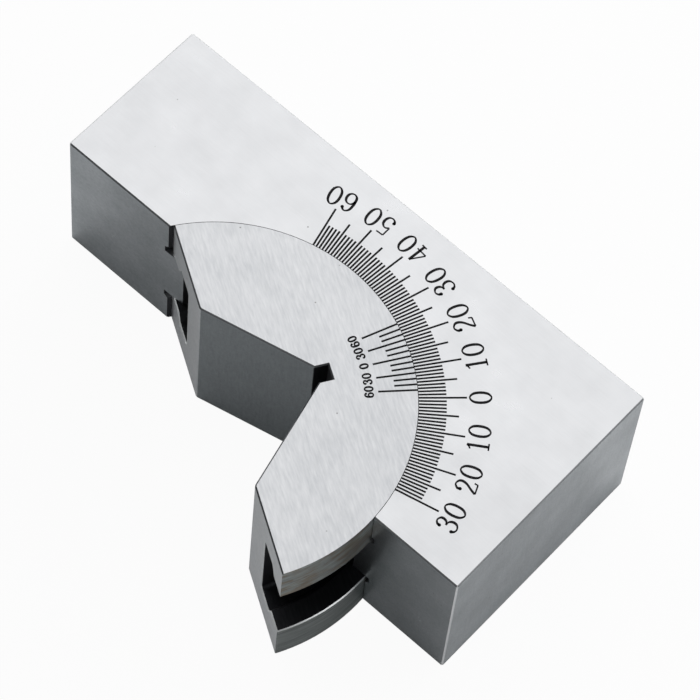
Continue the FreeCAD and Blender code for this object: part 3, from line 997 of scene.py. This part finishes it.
@dataclass(frozen=True)
class CapScrew:
    """An M6 hexagon socket cap screw, in millimetres."""

    head_radius: float = 5.0
    head_length: float = 6.0
    edge: float = 0.35              # the seat's chamfer
    shoulder: float = 0.7           # height of the rounded top edge
    crown: float = 0.42             # its width
    socket_flats: float = 5.0
    socket_depth: float = 3.0
    socket_rim: float = 0.1         # the chamfer round the socket's corners
    socket_chamfer: float = 0.3
    drill_point: float = 0.9
    ridge: float = 0.22
    valley: float = 0.6             # depth of the knurl's valleys, as a share of a ridge
    knurl_low: float = 0.525
    knurl_length: float = 4.705
    thread_depth: float = 0.6
    length: float = 16.0
    sides: int = 96
    crease: float = 32.0            # corners sharper than this stay sharp, in degrees

    def ring(self, height: float, radius: Callable[[float], float]) -> list[Vector]:
        """Give a closed ring of points about the axis.

        Args:
            height: its place along the axis.
            radius: the radius at an angle in radians.

        Returns:
            As many points as the screw has sides.
        """
        angles = [math.tau * k / self.sides for k in range(self.sides)]
        return [Vector((math.cos(a), math.sin(a), 0.0)) * radius(a) * MM + UP * height * MM
                for a in angles]

    def hexagon(self, angle: float) -> float:
        """Give the socket's radius at an angle."""
        third = math.pi / 3
        return self.socket_flats / 2 / math.cos((angle % third) - third / 2)

    def head(self) -> bpy.types.Mesh:
        """Loft the head: seat, side, top and hexagon socket, one closed skin.

        Returns:
            The head's mesh, with its seat at height 0.
        """
        side = self.head_radius - self.ridge * self.valley
        mouth = self.socket_flats / math.sqrt(3) + self.socket_rim
        top, floor = self.head_length, self.head_length - self.socket_depth
        rings = [
            self.ring(0.0, lambda a: self.head_radius - self.edge),
            self.ring(self.edge, lambda a: side),
            self.ring(top - self.shoulder, lambda a: side),
            self.ring(top, lambda a: side - self.crown),
            self.ring(top, lambda a: mouth),
            self.ring(top - self.socket_chamfer, self.hexagon),
            self.ring(floor, self.hexagon),
        ]
        skin = bmesh.new()
        loops = [[skin.verts.new(p) for p in ring] for ring in rings]
        count = self.sides
        for low, high in zip(loops, loops[1:]):
            for k in range(count):
                n = (k + 1) % count
                skin.faces.new((low[k], low[n], high[n], high[k]))
        for loop, height in ((loops[0], 0.0), (loops[-1], floor - self.drill_point)):
            centre = skin.verts.new((0.0, 0.0, height * MM))
            for k in range(count):
                skin.faces.new((loop[k], loop[(k + 1) % count], centre))
        bmesh.ops.recalc_face_normals(skin, faces=skin.faces)
        mesh = bpy.data.meshes.new("cap_screw_head")
        skin.to_mesh(mesh)
        skin.free()
        return mesh

    def build(self, name: str, node: str, body: str, seat: Vector, detail: ShapeTree,
              finish: bpy.types.Material) -> None:
        """Make one screw and let it stand for its plain solid.

        Args:
            name: the piece's name.
            node: the plain solid that it stands for.
            body: the body that it turns with.
            seat: the middle of its seat; the head points along +Y from there.
            detail: the tree that adds knurl and shank.
            finish: the black oxide.
        """
        piece = mesh_object(name, self.head(), finish)
        detail.bake(piece, {
            "Knurl Radius": (self.head_radius - self.ridge) * MM, "Ridge Size": self.ridge * MM,
            "Knurl Low": self.knurl_low * MM, "Knurl Length": self.knurl_length * MM,
            "Thread Depth": self.thread_depth * MM, "Shank Length": self.length * MM,
        })
        turn = Matrix.Rotation(math.radians(-90), 4, "X")
        piece.data.transform(Matrix.Translation(seat) @ turn)
        piece.data.shade_smooth()
        piece.data.set_sharp_from_angle(angle=math.radians(self.crease))
        place_piece(piece, body)
        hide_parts(node)


# ------------------------------------------------------------------ sub-assemblies
def dress(node: bpy.types.Object, finish: bpy.types.Material) -> None:
    """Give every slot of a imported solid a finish, and log it."""
    for slot in node.material_slots:
        slot.material = finish
    LOG.info("%s: dressed in %s", node.name, finish.name)


@dataclass
class VeeBlock:
    """The whole tool: the block, the turning vee, the shoe and its two screws."""

    frame: dict[str, Any]
    pivot: Vector = field(default_factory=Vector)
    top: float = 0.0
    zero_angle: float = 43.8        # where the degree scale reads 0, in degrees round the pivot
    degrees: tuple[int, int] = (-30, 60)
    rotor_axis: float = 58.5        # the way from the vee's mouth to its root
    vernier_lean: float = -1.2      # the vernier's 0 from that line
    vernier_span: float = 22.0
    vernier_spaces: int = 12

    def build(self) -> None:
        """Dress the solids and add scales and screws, in order."""
        joints = {joint["name"]: joint for joint in self.frame["joints"]}
        self.pivot = Vector(joints["rotor_angle"]["pos_m"])
        self.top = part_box("block")[1].z
        self.finish_solids()
        self.cut_scales()
        self.fit_screws(joints)

    def finish_solids(self) -> None:
        """Put ground steel on the block, the rotor and the shoe."""
        nodes = self.frame["nodes"]
        pivot = (self.pivot.x, self.pivot.y)
        block = BlockSteel("ground_tool_steel_block", Lay.ALONG_BLOCK, pivot=pivot).build()
        # the rotor's side colours are painted shade, darker still on its upright faces and vee
        # walls
        rotor = RotorSteel("ground_tool_steel_rotor", Lay.ALONG_CHORD,
                           top=Tint("c1c3c6", "d3d4d6"), side=Tint("878d90", "9fa5a8"),
                           roughness=0.33, mark_length_mm=2.4, mark_width_mm=0.38,
                           mark_share=0.7, mark_depth_mm=0.003, pivot=pivot,
                           axis=self.rotor_axis).build()
        dress(nodes["block"], block)
        dress(nodes["rotor"], rotor)
        dress(nodes["clamp_shoe"], block)

    def cut_scales(self) -> None:
        """Paint the degree scale on the block and the vernier on the rotor."""
        paint = EngravingPaint().build()
        lines = scale_line_tree()
        roman = Lettering(height=3.8, pitch=2.7, thick=0.48, thin=0.27, dot=0.30, stretch=0.92)
        small = Lettering(height=1.6, pitch=1.1, thick=0.36, thin=0.25, dot=0.19, stretch=0.86)
        low, high = self.degrees
        tens = tuple((self.zero_angle + a, str(abs(a))) for a in range(low, high + 1, 10))
        Scale("degree_scale", "block", first_angle=self.zero_angle + low, step=1.0,
              count=high - low + 1, edge_radius=32.51, radii=(37.0, 39.0, 40.3), every=(5, 10),
              labels=tens, label_radius=42.5, lettering=roman,
              ).build(lines, self.pivot, self.top, paint)
        step, half = self.vernier_span / self.vernier_spaces, self.vernier_spaces // 2
        zero = self.rotor_axis + self.vernier_lean
        minutes = tuple((zero + k * step, str(abs(k) * 10)) for k in range(-half, half + 1, 3))
        Scale("vernier_scale", "rotor", first_angle=zero - half * step, step=step,
              count=self.vernier_spaces + 1, edge_radius=32.39, radii=(28.7, 26.0, 26.0),
              every=(3, 3), labels=minutes, label_radius=24.52, lettering=small,
              ).build(lines, self.pivot, self.top, paint)

    def fit_screws(self, joints: dict[str, Any]) -> None:
        """Make the two clamp screws in place of their plain solids."""
        finish = BlackOxide().build()
        detail = screw_detail_tree()
        for side in ("left", "right"):
            seat = Vector(joints[side + "_screw_turn"]["pos_m"])
            CapScrew().build("cap_screw_" + side, "clamp_screw_" + side, side + "_screw", seat,
                             detail, finish)


# ------------------------------------------------------------------ studio
@dataclass(frozen=True)
class Softbox:
    """A rectangular soft lamp that looks at the block; metres and watts."""

    name: str
    place: tuple[float, float, float]
    size: tuple[float, float]
    power: float

    def build(self) -> None:
        """Hang the lamp."""
        data = bpy.data.lights.new(self.name, "AREA")
        data.shape = "RECTANGLE"
        data.size, data.size_y = self.size
        data.energy = self.power
        lamp = bpy.data.objects.new(self.name, data)
        bpy.context.scene.collection.objects.link(lamp)
        lamp.location = self.place
        backward = Vector(self.place) - LAMP_TARGET
        lamp.rotation_euler = backward.to_track_quat("Z", "Y").to_euler()


@dataclass
class Studio:
    """A plain pale floor, soft lamps and the camera."""

    floor_half: float = 3.0
    floor_drop: float = 0.00002
    paper: str = "e9e9ea"
    walls: str = "f4f5f8"
    wall_level: float = 0.04
    camera_share: float = 0.95      # how much of the sheet the camera sees as plain white
    gloss_share: float = 0.05       # and how much of it reflections see so
    aim_mm: tuple[float, float, float] = (4.71, 11.9, 16.0)
    distance_mm: float = 627.1
    camera_angles: tuple[float, float, float] = (27.453, -3.132, 42.047)
    lens_mm: float = 193.7
    sensor_mm: float = 36.0
    lamps: tuple[Softbox, ...] = (
        Softbox("key_softbox", (-0.22, 0.30, 0.72), (0.70, 0.70), 1.72),
        Softbox("left_strip", (-0.80, 0.05, 0.40), (0.90, 0.55), 2.5),
        Softbox("right_strip", (0.80, 0.35, 0.40), (0.90, 0.55), 3.1),
        Softbox("back_strip", (0.0, 0.90, 0.40), (1.20, 0.55), 8.0),
        Softbox("front_card", (0.2, -1.10, 0.35), (1.60, 0.80), 2.4),
    )

    def build(self) -> None:
        """Set up floor, lamps, world and camera."""
        half, low = self.floor_half, -self.floor_drop
        mesh = bpy.data.meshes.new("studio_floor")
        corners = [(-half, -half, low), (half, -half, low), (half, half, low), (-half, half, low)]
        mesh.from_pydata(corners, [], [(0, 1, 2, 3)])
        mesh_object("studio_floor", mesh, self.floor_finish())
        for lamp in self.lamps:
            lamp.build()
        self.set_world()
        self.set_camera()
        bpy.context.scene.view_settings.view_transform = "Standard"

    def white_share(self, tree: NodeTree) -> Any:
        """Say how far a ray sees the plain white sheet: the camera nearly all, gloss a part."""
        path = add_node(tree, "ShaderNodeLightPath")
        mirror = math_node(tree, "ADD", path.outputs["Is Glossy Ray"],
                           path.outputs["Is Transmission Ray"], clamp=True)
        seen = math_node(tree, "MULTIPLY", path.outputs["Is Camera Ray"], self.camera_share)
        return math_node(tree, "MULTIPLY_ADD", mirror, self.gloss_share, seen)

    def floor_finish(self) -> bpy.types.Material:
        """Make the floor: white paper to the camera, its real grey and shadow underneath."""
        material, tree = new_material("pale_paper_floor")
        paper = add_node(tree, "ShaderNodeBsdfDiffuse", Color=srgb(self.paper))
        white = add_node(tree, "ShaderNodeEmission", Color=WHITE, Strength=1.0)
        mix = add_node(tree, "ShaderNodeMixShader", in0=self.white_share(tree),
                       in1=paper.outputs[0], in2=white.outputs[0])
        finish_material(tree, mix.outputs[0])
        return material

    def set_world(self) -> None:
        """Make the world: dim studio walls that the camera sees as white."""
        world = bpy.data.worlds.new("studio_world")
        bpy.context.scene.world = world
        world.use_nodes = True
        tree = world.node_tree
        tree.nodes.clear()
        walls = add_node(tree, "ShaderNodeBackground", Color=srgb(self.walls),
                         Strength=self.wall_level)
        white = add_node(tree, "ShaderNodeBackground", Color=WHITE, Strength=1.0)
        mix = add_node(tree, "ShaderNodeMixShader", in0=self.white_share(tree),
                       in1=walls.outputs[0], in2=white.outputs[0])
        add_node(tree, "ShaderNodeOutputWorld", Surface=mix.outputs[0])

    def set_camera(self) -> None:
        """Place the camera and make it the scene's."""
        data = bpy.data.cameras.new("camera")
        data.lens = self.lens_mm
        data.sensor_width = self.sensor_mm
        data.clip_start = 0.01
        camera = bpy.data.objects.new("camera", data)
        bpy.context.scene.collection.objects.link(camera)
        camera.rotation_euler = [math.radians(a) for a in self.camera_angles]
        backward = camera.rotation_euler.to_matrix() @ UP
        camera.location = (Vector(self.aim_mm) + backward * self.distance_mm) * MM
        bpy.context.scene.camera = camera


def main() -> None:
    """Load the model, dress it and light it."""
    logging.basicConfig(level=logging.INFO, format="%(name)s %(message)s")
    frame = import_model()
    VeeBlock(frame).build()
    Studio().build()
    bpy.context.view_layer.update()


if __name__ == "__main__":
    main()
